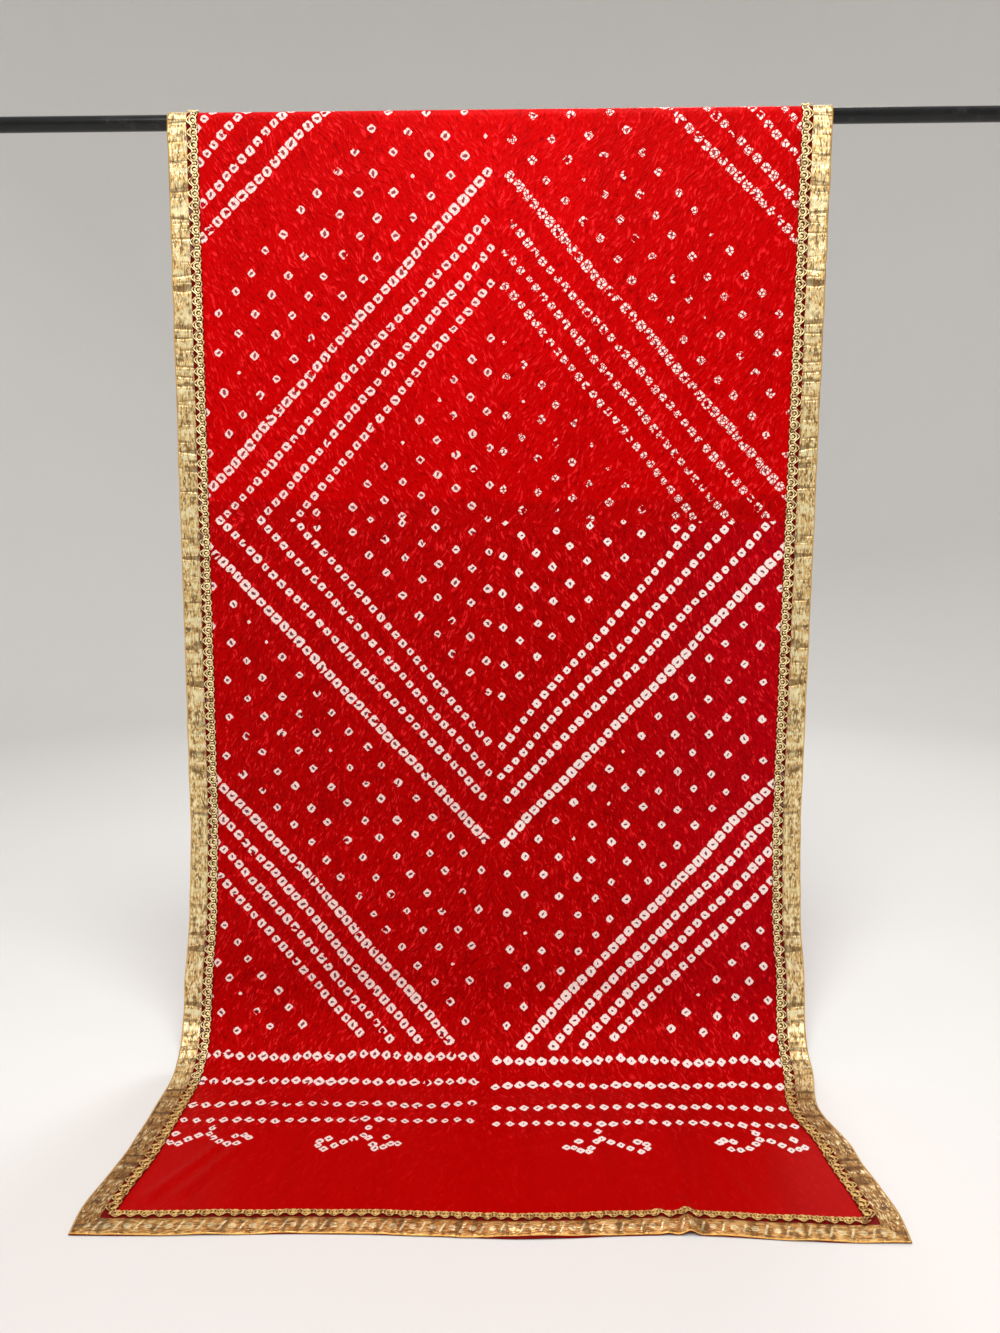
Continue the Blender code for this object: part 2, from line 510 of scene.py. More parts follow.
def clothPoint(u, s, lift=0.0, relief=None):
    forward, height, tilt = sideAt(s)
    off = drape["lift"] + drape["thick"] + lift
    off += reliefAt(u, s, tilt) if relief is None else relief
    forward += off * math.cos(tilt)
    height += off * math.sin(tilt)
    x = u
    if s > 0:
        hang = smoothStep(foldHeights["top"], foldHeights["full"], height)
        hang *= smoothStep(foldHeights["foot"], foldHeights["low"], height)
        forward += swell(folds, u) * hang
        runOut = max(forward - drape["wrapRadius"], 0.0) / (drape["reach"] - drape["wrapRadius"])
        forward += (drape["reachSkew"] * u - swell(endDips, u)) * runOut
        x += driftAt(u, s) - drape["slant"] * (rodZ - max(min(height, rodZ), drape["slantEnd"]))
    return Vector((x, rodY - forward, height))


# Fills one map of a sheet: placeAt gives the place of a grid point, for the faces of one row.
def fillMap(mesh, name, columns, placeAt):
    made = mesh.uv_layers.new(name=name)
    for face in mesh.polygons:
        j, i = divmod(face.index, columns)
        for loop, (di, dj) in zip(face.loop_indices, ((0, 0), (0, 1), (1, 1), (1, 0))):
            made.data[loop].uv = placeAt(i + di, j + dj, j)


# A sheet over a grid of flat places. flatAt gives (u, s, lift) of a grid point, and bakeAt its
# place on the piece's own 0 to 1 map.
def gridSheet(name, columns, rows, flatAt, bakeAt, material, wall):
    points, flats = [], []
    for j in range(rows + 1):
        for i in range(columns + 1):
            u, s, lift = flatAt(i, j)
            points.append(clothPoint(u, s, lift))
            flats.append((u, s))
    step = columns + 1
    corners = []
    for j in range(rows):
        for i in range(columns):
            corners.append((j * step + i, (j + 1) * step + i, (j + 1) * step + i + 1, j * step + i + 1))
    mesh = bpy.data.meshes.new(name)
    mesh.from_pydata(points, [], corners)
    fillMap(mesh, "flatSize", columns, lambda i, j, faceRow: flats[j * step + i])
    fillMap(mesh, "OFBake", columns, bakeAt)
    mesh.uv_layers.active = mesh.uv_layers["flatSize"]
    mesh.materials.append(material)
    mesh.shade_smooth()
    obj = putInScene(name, mesh)
    solid = obj.modifiers.new("wall", "SOLIDIFY")
    solid.thickness = wall
    solid.offset = -1.0
    return obj


# The bandhani dots.
# In the folded cloth, across is |u| and down is |s - foldRow|, so that a dot tied through four
# layers comes out once in each quarter.

dots = {
    "rightDrop": 0.006,  # the right half was laid this much lower when it was tied
    "footDrift": -0.010,  # the middle fold's sideways shift at the foot
    "driftSpan": (1.05, 1.33),
    "linePitch": 0.0158,
    "wander": 0.0035,  # how far a row strays from its line
    "wanderScale": 9.0,
    "rowWander": 0.014,
    "clearFold": 0.008,  # bare cloth each side of the middle fold
}
# The dotted lines: down = start - slope * across. upTo is where the next line's share begins, on
# the scale down + lineSlope * across.
lineSlope = 1.1
highLines = tableOf(
    "upTo start slope half",
    (0.356, 0.334, 1.170, 0.0050),
    (0.400, 0.378, 1.130, 0.0050),
    (0.455, 0.422, 1.080, 0.0052),
    (0.650, 0.483, 1.085, 0.0063),
    (0.847, 0.770, 0.945, 0.0062),
    (0.900, 0.834, 0.995, 0.0056),
    (0.950, 0.905, 1.035, 0.0054),
    (1.000, 0.950, 1.035, 0.0052),
)
lowLines = highLines[:4] + tableOf(
    "upTo start slope half",
    (0.845, 0.817, 1.075, 0.0064),
    (0.891, 0.867, 1.075, 0.0060),
    (0.931, 0.910, 1.070, 0.0056),
    (1.000, 0.943, 1.035, 0.0054),
)
# The rows across the foot, on the same scale in down.
footRows = tableOf(
    "upTo start pitch half",
    (0.805, 0.784, 0.0160, 0.0055),
    (0.851, 0.827, 0.0165, 0.0057),
    (0.896, 0.877, 0.0178, 0.0052),
    (1.000, 0.914, 0.0170, 0.0048),
)
# The scattered dots stand at crossings of two families of slanting lines.
scatters = {
    "inner": {"slope": (1.20, 0.875), "start": (0.0631, -0.0109), "step": (0.0505, 0.0500)},
    "middle": {"slope": (1.09, 1.07), "start": (0.535, -0.0793), "step": (0.0583, 0.0520)},
    "outer": {"slope": (1.09, 1.07), "start": (1.027, 0.1765), "step": (0.0575, 0.0455)},
}
# Where each kind of dot stands, on the same scale as upTo.
zones = {
    "diamondLines": (0.300, 0.515),
    "cornerLinesHigh": (0.764, 0.990),
    "cornerLinesLow": (0.799, 0.986),
    "middleGrid": 0.505,  # where one grid of scattered dots gives way to the next
    "outerGrid": 0.986,
    "innerEnd": 0.291,
    "middleStart": 0.524,
    "middleEnd": (0.752, 0.788),  # above the fold, and below it
    "outerStart": (1.000, 0.996),
}
# The same for the foot, in down.
foot = {
    "scatterEnd": 0.757,
    "linesEnd": 0.762,
    "rows": 0.766,
    "figures": (0.9245, 1.0),
}
# How a single dot looks. Four values are for above the fold on the left and on the right, then
# below it.
marks = {
    "scatterHalf": 0.0048,
    "figureHalf": 0.0045,
    "looseScatter": 0.0055,  # how far a dot may sit from its place
    "looseRow": 0.0024,
    "looseLine": 0.0014,
    "tinyShare": 0.06,
    "tinySize": 0.45,
    "square": 4.5,  # 2 would be round
    "ragged": 0.0026,
    "raggedScale": 210.0,
    "crackScale": 185.0,
    "crackWidth": (0.060, 0.165, 0.050, 0.030),
    "crackDepth": (0.7, 1.0, 0.45, 0.2),
    "lostShards": (0.04, 0.13, 0.04, 0.0),
    "coreSize": (0.74, 0.54, 0.66, 0.48),
    "coreMore": 0.22,  # how much larger it is in a scattered dot
    "coreNarrow": 3.2,
    "stain": (0.34, 0.25, 0.28, 0.12),
}
# The figures of the foot, as short chains of dots: from one end to the other, across and down from
# the figure's own middle, and in how many steps.
figures = {
    "inner": {"across": 0.155, "down": 0.955},
    "outer": {"across": 0.352, "down": 0.948},
    "outerFrom": 0.25,
}
chains = tableOf(
    "inner outer",
    ((-0.0073, -0.0227, -0.0038, -0.0077, 1), (-0.0045, -0.0269, -0.0029, -0.0054, 2)),
    ((-0.0118, -0.0017, -0.0183, 0.0113, 1), (-0.0110, 0.0045, -0.0202, 0.0135, 1)),
    ((0.0082, 0.0013, 0.0427, 0.0213, 3), (0.0107, -0.0005, 0.0293, 0.0167, 2)),
    ((0.0517, 0.0153, 0.0517, 0.0053, 1), (0.0400, 0.0165, 0.0492, 0.0115, 1)),
    ((0.0412, 0.0013, -0.0348, -0.0027, 1), (0.0407, -0.0027, -0.0386, 0.0016, 1)),
    ((-0.0216, 0.0206, -0.0490, 0.0113, 1), (-0.0310, 0.0190, -0.0547, 0.0075, 1)),
    ((-0.0408, 0.0115, -0.0310, 0.0180, 1), (-0.0440, 0.0180, -0.0470, 0.0010, 1)),
)


# A short table read by where a value falls: each row's share ends at its upTo.
def lookUp(bench, value, rows, keys):
    ramp = bench.node("ShaderNodeValToRGB")
    ramp.color_ramp.interpolation = "CONSTANT"
    bench.put(ramp.inputs[0], value)
    stops = ramp.color_ramp.elements
    stops.remove(stops[1])
    starts = [0.0] + [row["upTo"] for row in rows[:-1]]
    for index, (start, row) in enumerate(zip(starts, rows)):
        stop = stops[0] if index == 0 else stops.new(start)
        stop.position = start
        stop.color = (*[row[key] * scale for key, scale in keys], 1.0)
    parts = bench.node("ShaderNodeSeparateColor")
    bench.put(parts.inputs[0], bench.out(ramp))
    return [bench.out(parts, k) * (1 / keys[k][1]) for k in range(len(keys))]


# Which is the nearest dot of a slanting line, and where a point is from it.
def lineDots(bench, across, down, isLow):
    a = across * lineSlope + down
    keys = (("start", 0.5), ("slope", 0.5), ("half", 50.0))
    high = lookUp(bench, a, highLines, keys)
    low = lookUp(bench, a, lowLines, keys)
    start, slope, half = [bench.choose(isLow, h, l) for h, l in zip(high, low)]
    size = bench.math("SQRT", slope * slope + 1.0)
    offLine = (slope * across + down - start) / size
    along = (across - slope * down) / size
    count = along / dots["linePitch"]
    number = bench.math("ROUND", count)
    alongDot = (count - number) * dots["linePitch"]
    fromAcross = (slope * offLine + alongDot) / size
    fromDown = (offLine - slope * alongDot) / size
    centre = across - fromAcross, down - fromDown
    return offLine, alongDot, half, number, start, centre


def rowDots(bench, across, down, isRight):
    keys = (("start", 0.5), ("pitch", 20.0), ("half", 50.0))
    start, pitch, half = lookUp(bench, down, footRows, keys)
    place = bench.join(across * 15.0, start * 9.0, isRight)
    down = (bench.noise(place, 1.0, 1.0) - 0.5) * dots["rowWander"] + down
    count = across / pitch
    number = bench.math("ROUND", count)
    return (count - number) * pitch, down - start, half, number, start


def scatterDots(bench, across, down, isMiddle, isOuter):
    def pick(key, family):
        first, second, third = (scatters[zone][key][family] for zone in ("inner", "middle", "outer"))
        return bench.choose(isOuter, bench.choose(isMiddle, first, second), third)

    slopeA, slopeB = pick("slope", 0), pick("slope", 1)
    places, numbers = [], []
    for family, slope in enumerate((slopeA, slopeB * -1.0)):
        step = pick("step", family)
        count = (slope * across + down - pick("start", family)) / step
        number = bench.math("ROUND", count)
        places.append((count - number) * step)
        numbers.append(number)
    total = slopeA + slopeB
    dAcross = (places[0] - places[1]) / total
    dDown = (slopeB * places[0] + slopeA * places[1]) / total
    return dAcross, dDown, *numbers


# The nearest dot of the foot's figures: each chain keeps its own nearest, and the best one wins.
def figureDots(bench, across, down, isOuterFigure):
    def pick(first, second):
        return bench.choose(isOuterFigure, first, second)

    px = across - pick(figures["inner"]["across"], figures["outer"]["across"])
    py = down - pick(figures["inner"]["down"], figures["outer"]["down"])
    best = None
    for index, row in enumerate(chains):
        x0, y0, x1, y1, steps = (
            pick(float(a), float(b)) for a, b in zip(row["inner"], row["outer"])
        )
        dx, dy = x1 - x0, y1 - y0
        rx, ry = px - x0, py - y0
        share = (rx * dx + ry * dy) / (dx * dx + dy * dy)
        share = bench.math("ROUND", share * steps) / steps
        share = bench.least(bench.most(share, 0.0), 1.0)
        ox, oy = rx - share * dx, ry - share * dy
        far = ox * ox + oy * oy
        seed = share * 3.0 + index * 5.0
        if best is None:
            best = [ox, oy, far, seed]
        else:
            nearer = far < best[2]
            best = [bench.choose(nearer, old, new) for old, new in zip(best, (ox, oy, far, seed))]
    return best


print("pattern tables ready")

# The cloth.

cloth = {
    "columns": 144,
    "backRows": 66,
    "wrapRows": 12,
    "frontRows": (38, 70, 34, 34, 46),  # to the fold, to the lean, lean, bend, floor
    "redDoubleLit": (0.450, 0.0003, 0.0006),  # painted light: brighter where the back layer lies behind the front one
    "redSingle": (0.380, 0.0006, 0.0009),
    "redRight": (0.375, 0.0004, 0.0036),  # the lower right is a little bluer
    # painted light: a touch brighter on the floor, where the top light falls on it
    "redFloorLit": (0.385, 0.0002, 0.0002),
    "rightSpan": (0.1, 0.4),
    "footSpan": (1.15, 1.42),
    "backLayerEnd": (0.524, 0.532),
    # painted highlight on crinkle crests; also the red stain in the white dots
    "redHighlightAndStain": (0.820, 0.018, 0.022),
    # painted shade in crinkle troughs, creases and between streaks
    "redShade": (0.170, 0.0003, 0.0006),
    "redSheen": (0.560, 0.0005, 0.0012),  # painted sheen, at the middle near the rod
    "undyed": (0.860, 0.770, 0.720),
    "coreHigh": (0.230, 0.003, 0.008),  # the middle of a dot, above the fold and below it
    "coreLow": (0.100, 0.002, 0.005),
    "underBraid": (0.110, 0.004, 0.004),
    "braidBand": 0.0415,  # how far in from the edge the cloth is dark, and how much less at the ends
    "braidBandLess": 0.0030,
}


def clothRows():
    toFold, toLean, lean, bend, floor = cloth["frontRows"]
    rows = spread(backEnd, -quarter, cloth["backRows"])
    rows += spread(-quarter, quarter, cloth["wrapRows"])[1:]
    rows += spread(quarter, foldRow, toFold)[1:]
    foldIndex = len(rows) - 1
    rows += spread(foldRow, dropEnd, toLean)[1:]
    rows += spread(dropEnd, leanEnd, lean)[1:]
    rows += spread(leanEnd, bendEnd, bend)[1:]
    rows += spread(bendEnd, frontEnd, floor)[1:]
    return rows, foldIndex


def clothMaterial():
    material, bench, shader = newMaterial("bandhaniRed")
    flat = bench.flatPlace("flatSize")
    u, s, _ = bench.split(flat)
    drift = bench.smooth(s, *dots["driftSpan"]) * dots["footDrift"]
    uMid = u - drift
    isRight = uMid > 0.0
    sTied = s - isRight * dots["rightDrop"]
    isLow = sTied > foldRow
    strayU, strayV, _ = bench.colorNoise(flat, dots["wanderScale"])
    across = abs(uMid)
    down = abs(sTied - foldRow)
    across = (strayU - 0.5) * (2 * dots["wander"]) + across
    down = (strayV - 0.5) * (2 * dots["wander"]) + down
    a = across * lineSlope + down

    # which family a point belongs to
    isRow = down > foot["rows"]
    isMiddle = a > zones["middleGrid"]
    isOuter = a > zones["outerGrid"]
    nearDiamond = within(a, *zones["diamondLines"])
    nearCornerHigh = within(a, *zones["cornerLinesHigh"])
    nearCornerLow = within(a, *zones["cornerLinesLow"])
    isLine = bench.most(nearDiamond, bench.choose(isLow, nearCornerHigh, nearCornerLow))

    lineP, lineQ, lineHalf, lineNumber, lineStart, lineAt = lineDots(bench, across, down, isLow)
    rowX, rowY, rowHalf, rowNumber, rowStart = rowDots(bench, across, down, isRight)
    scatX, scatY, scatI, scatJ = scatterDots(bench, across, down, isMiddle, isOuter)
    isOuterFigure = across > figures["outerFrom"]
    figX, figY, _, figSeed = figureDots(bench, across, down, isOuterFigure)

    isFigure = within(down, *foot["figures"])
    onLine = isLine * (1.0 - isRow)

    def byKind(scattered, row, line):
        return bench.choose(onLine, bench.choose(isRow, scattered, row), line)

    looseX = bench.choose(isFigure, bench.choose(isRow, scatX, rowX), figX)
    looseY = bench.choose(isFigure, bench.choose(isRow, scatY, rowY), figY)
    turned = math.sqrt(0.5)
    looseP = (looseX + looseY) * turned
    looseQ = (looseX - looseY) * turned
    seedI = bench.choose(isFigure, byKind(scatI, rowNumber, lineNumber), figSeed)
    seedJ = byKind(scatJ, rowStart, lineStart)
    quarterSeed = isRight * 2.0 + isLow
    r1, r2, r3 = bench.random(bench.join(seedI, seedJ * 37.0, 0.5))
    q1, q2, q3 = bench.random(bench.join(seedI, seedJ * 37.0, quarterSeed))
    loose = byKind(marks["looseScatter"], marks["looseRow"], marks["looseLine"])
    p = bench.choose(onLine, looseP, lineP)
    q = bench.choose(onLine, looseQ, lineQ)
    p = (r1 - 0.5) * loose + p
    q = (r2 - 0.5) * loose + q
    half = byKind(marks["scatterHalf"], rowHalf, lineHalf)
    half = bench.choose(isFigure, half, marks["figureHalf"])
    vary = q3 * 0.2 + 0.86 + r3 * 0.12
    alone = 1.0 - bench.most(onLine, isRow)
    tiny = (q1 < marks["tinyShare"]) * alone
    half = half * bench.choose(tiny, vary, marks["tinySize"])

    # outline: a rounded square, its edge a little ragged
    raggedA, raggedB, raggedC = bench.colorNoise(flat, marks["raggedScale"])
    p = (raggedA - 0.5) * marks["ragged"] + p
    q = (raggedB - 0.5) * marks["ragged"] + q
    square = marks["square"]
    reach = (abs(p / half) ** square + abs(q / half) ** square) ** (1 / square)
    spot = 1.0 - bench.smooth(reach, 0.92, 1.04)

    # where dots stand at all: each is shown or left out by where its middle is
    scatterA = a - (scatX * lineSlope + scatY)
    scatterIn = scatterA < zones["innerEnd"]
    scatterMid = within(scatterA, zones["middleStart"], bench.choose(isLow, *zones["middleEnd"]))
    scatterOut = scatterA > bench.choose(isLow, *zones["outerStart"])
    scatterOut = scatterOut * (down - scatY < foot["scatterEnd"])
    anyScatter = bench.most(scatterIn, bench.most(scatterMid, scatterOut))
    lineShown = onLine * (lineAt[1] < foot["linesEnd"])
    shown = bench.most(isRow, bench.choose(onLine, anyScatter, lineShown))
    centreAcross = bench.choose(onLine, across - looseX, lineAt[0])
    shown = shown * (centreAcross > dots["clearFold"])
    shown = shown * (down < foot["figures"][1])
    spot = spot * shown

    # the marks that tying left in a dot: a dark core, and cracks of dye between shards
    def byQuarter(key):
        high, low = marks[key][:2], marks[key][2:]
        return bench.choose(isLow, bench.choose(isRight, *high), bench.choose(isRight, *low))

    def shards(feature, which):
        made = bench.node("ShaderNodeTexVoronoi", feature=feature, voronoi_dimensions="2D")
        return bench.out(bench.fill(made, Vector=flat, Scale=marks["crackScale"]), which)

    crackWidth = byQuarter("crackWidth")
    crack = 1.0 - bench.smooth(shards("DISTANCE_TO_EDGE", 0), crackWidth * 0.5, crackWidth)
    crack = crack * byQuarter("crackDepth")
    lost = bench.split(shards("F1", "Color"))[0] < byQuarter("lostShards")
    crack = bench.most(crack, lost)
    # the core is a slash across the dot, each turned its own way
    coreTurn = q2 * math.pi
    coreCos, coreSin = bench.math("COSINE", coreTurn), bench.math("SINE", coreTurn)
    coreP = p * coreCos + q * coreSin
    coreQ = q * coreCos - p * coreSin
    coreFar = bench.math("SQRT", coreP * coreP + coreQ * coreQ * marks["coreNarrow"])
    coreReach = (raggedC - 0.5) * 0.55 + coreFar / half
    coreSize = byQuarter("coreSize") * (alone * marks["coreMore"] + 1.0)
    core = 1.0 - bench.smooth(coreReach, coreSize * 0.62, coreSize)
    core = core * bench.smooth(half, 0.0022, 0.0036)
    white = spot * (1.0 - crack)
    stain = bench.noise(flat, 330.0, 2.0, size="2D") * byQuarter("stain")

    # the dyed ground, with painted sheen, painted highlights and painted shade
    crinkles = bench.group(
        crinkleGroup,
        Across=across,
        Down=down,
        Quarter=quarterSeed,
        Low=isLow,
        Calm=bench.smooth(down, 0.76, 0.84) * 0.4 + bench.smooth(down, 0.92, 0.96) * 0.6,
    )
    edgeWander = strayU * 0.012 - 0.006
    isDouble = 1.0 - bench.smooth(s + edgeWander, *cloth["backLayerEnd"])
    # painted sheen near the rod and on soft upright streaks, and painted shade beside the streaks
    streaks = bench.noise(bench.join(u * 16.0, s * 1.7), 1.0, 2.0)
    nearMiddle = 1.0 - bench.smooth(abs(u), 0.02, 0.2)
    nearRod = (1.0 - bench.smooth(s, 0.1, 0.5)) * nearMiddle
    glow = nearRod * 0.75 + bench.smooth(streaks, 0.48, 0.72) * 0.3
    ground = bench.layers(
        cloth["redSingle"],
        (bench.smooth(u, *cloth["rightSpan"]) * isLow, cloth["redRight"]),
        # painted light: a touch brighter on the floor
        (bench.smooth(s, *cloth["footSpan"]), cloth["redFloorLit"]),
        # painted light: brighter where the back layer lies behind the front one
        (isDouble, cloth["redDoubleLit"]),
        # painted sheen near the rod and on the streaks
        (glow * isDouble, cloth["redSheen"]),
        # painted shade between the streaks
        (bench.smooth(streaks, 0.5, 0.28) * 0.18, cloth["redShade"]),
        # painted highlight on crinkle crests
        (crinkles["Crest"] * 0.66, cloth["redHighlightAndStain"]),
        # painted shade in crinkle troughs and along crease lines
        (crinkles["Trough"] * 0.62, cloth["redShade"]),
    )
    edgeA = drape["halfWidth"] - abs(u)
    edgeB = bench.least(frontEnd - s, s - backEnd) + cloth["braidBandLess"]
    underBraid = bench.least(edgeA, edgeB) < cloth["braidBand"]
    color = bench.layers(
        ground,
        (white, bench.tint(stain, cloth["undyed"], cloth["redHighlightAndStain"])),
        (core * spot * 0.92, bench.tint(isLow, cloth["coreHigh"], cloth["coreLow"])),
        (underBraid * 0.85, cloth["underBraid"]),
    )
    bench.fill(shader, Base_Color=color, Roughness=white * 0.25 + 0.5, Specular_IOR_Level=0.09)
    bench.fill(shader, Specular_Tint=(1.0, 0.05, 0.04, 1.0))
    bench.bump(shader, crinkles["Height"], 0.0017, 0.90)
    return material


crinkleLook = {
    "turn": math.radians(64),
    "turnLow": math.radians(8),  # more than that below the fold
    "fine": (380.0, 120.0),  # scale across a crease, and along it
    "broad": (170.0, 52.0),
    "lines": (95.0, 40.0),
}


# Short creases that fan out from the folds: Height for bump, and where a painted highlight lies on a
# crest or painted shade in a trough.
def makeCrinkleGroup():
    tree, bench, given, out = newGroup(
        "crinkles",
        ["Across", "Down", "Quarter", "Low", "Calm"],
        ["Height", "Crest", "Trough"],
    )
    across, down, quarterSeed = given["Across"], given["Down"], given["Quarter"]
    turn = given["Low"] * crinkleLook["turnLow"] + crinkleLook["turn"]
    turnCos, turnSin = bench.math("COSINE", turn), bench.math("SINE", turn)
    bent = bench.noise(bench.join(across, down, quarterSeed), 24.0, 1.0)
    along = across * turnCos + down * turnSin
    aside = across * turnSin - down * turnCos
    aside = bent * 0.02 + aside

    def stretched(key, detail, shift):
        asideScale, alongScale = crinkleLook[key]
        place = bench.join(aside * asideScale, along * alongScale, quarterSeed + shift)
        return bench.noise(place, 1.0, detail, 0.5)

    fine = stretched("fine", 1.0, 0.3)
    broad = stretched("broad", 1.5, 5.3)
    lines = stretched("lines", 1.5, 9.1)
    crease = 1.0 - bench.smooth(abs(lines - 0.5), 0.004, 0.028)
    crease = crease * (given["Low"] * 0.45 + 0.35)
    # painted highlight on crests, painted shade in troughs and along the crease lines
    crest = bench.smooth(fine, 0.54, 0.64) * bench.smooth(broad, 0.44, 0.62)
    trough = bench.smooth(fine, 0.44, 0.34) * bench.smooth(broad, 0.56, 0.4)
    trough = bench.most(trough, crease)
    height = fine * 0.6 + broad * 0.7
    height = height - crease * 0.25
    left = 1.0 - given["Calm"] * 0.8
    bench.put(out["Height"], height * left)
    bench.put(out["Crest"], crest * left)
    bench.put(out["Trough"], trough * left)
    return tree


crinkleGroup = makeCrinkleGroup()


def makeCloth():
    rows, foldIndex = clothRows()
    us = spread(-drape["halfWidth"], drape["halfWidth"], cloth["columns"])
    tall = max(rows[foldIndex] - rows[0], rows[-1] - rows[foldIndex])

    margin = 0.004

    # two strips side by side on the bake map, parted at the fold
    def bakeAt(i, j, faceRow):
        column = 0.0 if faceRow < foldIndex else 0.5
        start = rows[0] if faceRow < foldIndex else rows[foldIndex]
        share = (us[i] + drape["halfWidth"]) / (2 * drape["halfWidth"])
        up = (rows[j] - start) / tall
        return column + margin + (0.5 - 2 * margin) * share, margin + (1 - 2 * margin) * up

    obj = gridSheet(
        "bandhaniCloth",
        cloth["columns"],
        len(rows) - 1,
        lambda i, j: (us[i], rows[j], 0.0),
        bakeAt,
        clothMaterial(),
        drape["thick"],
    )
    return finishPiece(obj, "bandhani_red", "cloth")


bandhaniCloth = makeCloth()
print("cloth made:", len(bandhaniCloth.data.polygons), "faces")

# The gold ribbon.

ribbon = {
    "width": 0.0262,
    "thick": 0.0004,
    "lift": 0.0006,
    "across": 10,
    "stepAlong": 0.0035,
    "pucker": 0.0006,
    "ripple": 0.0012,  # how far its outer edge wanders
    "pale": (0.760, 0.500, 0.190),
    # painted shade in the gaps between threads and in the gathered bands
    "goldShade": (0.150, 0.070, 0.015),
    "glint": (1.000, 0.920, 0.560),
    "warm": (0.580, 0.270, 0.060),
    "warmGlint": (0.950, 0.640, 0.250),
    "edge": (0.950, 0.520, 0.120),
    "floorShade": (0.540, 0.390, 0.230),  # painted shade: what the gold is multiplied by on the floor
    "puckerScale": (90, 20),
    "puckerFine": (210, 35),
    "rippleScale": 24,
    "spanglePitch": 0.022,
    "spangleAt": (0.28, 0.52),  # shares of the pitch and of the width
    "spangleEdge": (0.0030, 0.0052),
    "barAt": 0.78,
    "barSlant": 0.35,
    "barEdge": (0.0008, 0.0020),
    "barHalfLength": 0.0075,
}


# Fine gold threads and glitter: Shade is 0 in the gaps and 1 on a thread.
# Shade puts painted shade into the gaps, and Glint marks where painted highlights go.
def makeThreadGroup():
    tree, bench, given, out = newGroup(
        "goldThreads",
        ["Along", "Across", "Threads", "Glitter"],
        ["Height", "Shade", "Glint"],
    )
    along, across = given["Along"], given["Across"]
    wobble = bench.noise(bench.join(along, across), 120.0, 1.0)
    phase = (wobble * 0.001 + across) * given["Threads"]
    thread = abs(bench.math("FRACT", phase) - 0.5)
    stretched = bench.join(along * 0.38, across)
    broken = bench.noise(stretched, given["Glitter"], 1.0)
    patch = bench.noise(stretched, given["Glitter"] * 0.4, 1.0)
    # glint marks painted highlights; gap marks painted shade between the threads
    glint = bench.most(bench.smooth(broken, 0.55, 0.63), bench.smooth(patch, 0.56, 0.66))
    gap = bench.most(bench.smooth(patch, 0.46, 0.36), bench.smooth(broken, 0.44, 0.35))
    shade = (1.0 - gap * 0.85) * (thread * 0.5 + 0.8)
    bench.put(out["Height"], broken * 1.0 + thread * 0.6)
    bench.put(out["Shade"], shade)
    bench.put(out["Glint"], glint)
    return tree


threadGroup = makeThreadGroup()


def ribbonMaterial(name, atFront):
    material, bench, shader = newMaterial(name)
    # the ribbon's own map, in metres: along it, and in from its outer edge
    along, across, _ = bench.split(bench.flatPlace("stripSize"))
    threads = bench.group(threadGroup, Along=along, Across=across, Threads=900.0, Glitter=430.0)
    # painted shade in dark crosswise bands at uneven places, where the ribbon gathers
    bandNoise = bench.noise(bench.join(along * 78.0, across * 11.0), 1.0, 1.5, 0.6)
    band = bench.smooth(bandNoise, 0.53, 0.64)
    # painted highlight between the bands
    shine = bench.smooth(bandNoise, 0.47, 0.34)
    onFloor = bench.smooth(along, bendEnd - 0.04, bendEnd + 0.01) * (1.0 - atFront)
    # painted highlights that sparkle on the floor
    sparkle = threads["Glint"] * bench.smooth(bandNoise, 0.52, 0.42)
    # embossed figures: a round spangle, then a slanting bar
    pitch = ribbon["spanglePitch"]
    turn = along / pitch
    place = turn - bench.math("FLOOR", turn)
    dx = (place - ribbon["spangleAt"][0]) * pitch
    dy = across - ribbon["spangleAt"][1] * ribbon["width"]
    far = bench.math("SQRT", dx * dx + dy * dy)
    spangle = 1.0 - bench.smooth(far, *ribbon["spangleEdge"])
    barX = (place - ribbon["barAt"]) * pitch - dy * ribbon["barSlant"]
    bar = 1.0 - bench.smooth(abs(barX), *ribbon["barEdge"])
    bar = bar * (abs(dy) < ribbon["barHalfLength"])
    emboss = bench.most(spangle * 0.8, bar)
    emboss = emboss * (threads["Shade"] * 0.5 + 0.3)
    rim = 1.0 - bench.smooth(across, 0.0008, 0.0022)
    ground = bench.tint(atFront, ribbon["pale"], ribbon["warm"])
    glint = bench.tint(atFront, ribbon["glint"], ribbon["warmGlint"])
    color = bench.layers(
        # painted shade in the gaps and bands, painted highlights on the glints and between the bands
        ribbon["goldShade"],
        (threads["Shade"], ground),
        (threads["Glint"] * 0.8, glint),
        (shine * 0.5, glint),
        (band * 0.68, ribbon["goldShade"]),
        # painted shade: the gold darker on the floor
        (onFloor, ribbon["floorShade"], "MULTIPLY"),
        (onFloor * sparkle * 0.65, ribbon["glint"]),
        # painted highlight on the embossed figures
        (emboss * (0.9 * atFront), ribbon["glint"]),
        (rim * 0.85, ribbon["edge"]),
    )
    rough = 0.40 - threads["Glint"] * 0.12
    bench.fill(shader, Base_Color=color, Roughness=rough, Metallic=threads["Shade"] * 0.20 + 0.40)
    height = threads["Height"] * 0.55 + emboss * (0.5 * atFront)
    height = height - band * 0.7
    bench.bump(shader, height, 0.0012, 0.9)
    return material


def pucker(along, across, seed):
    (slow, wide), (fast, narrow) = ribbon["puckerScale"], ribbon["puckerFine"]
    gather = wave(along * slow, across * wide, seed)
    gather += 0.6 * wave(along * fast, across * narrow, seed + 3)
    dome = 1 - abs(2 * across / ribbon["width"] - 1) ** 4
    return ribbon["pucker"] * (gather + 0.6) * (0.35 + 0.65 * dome)


def rimWander(along, across, seed):
    share = 1 - across / ribbon["width"]
    return ribbon["ripple"] * share * wave(along * ribbon["rippleScale"], 0.0, seed)


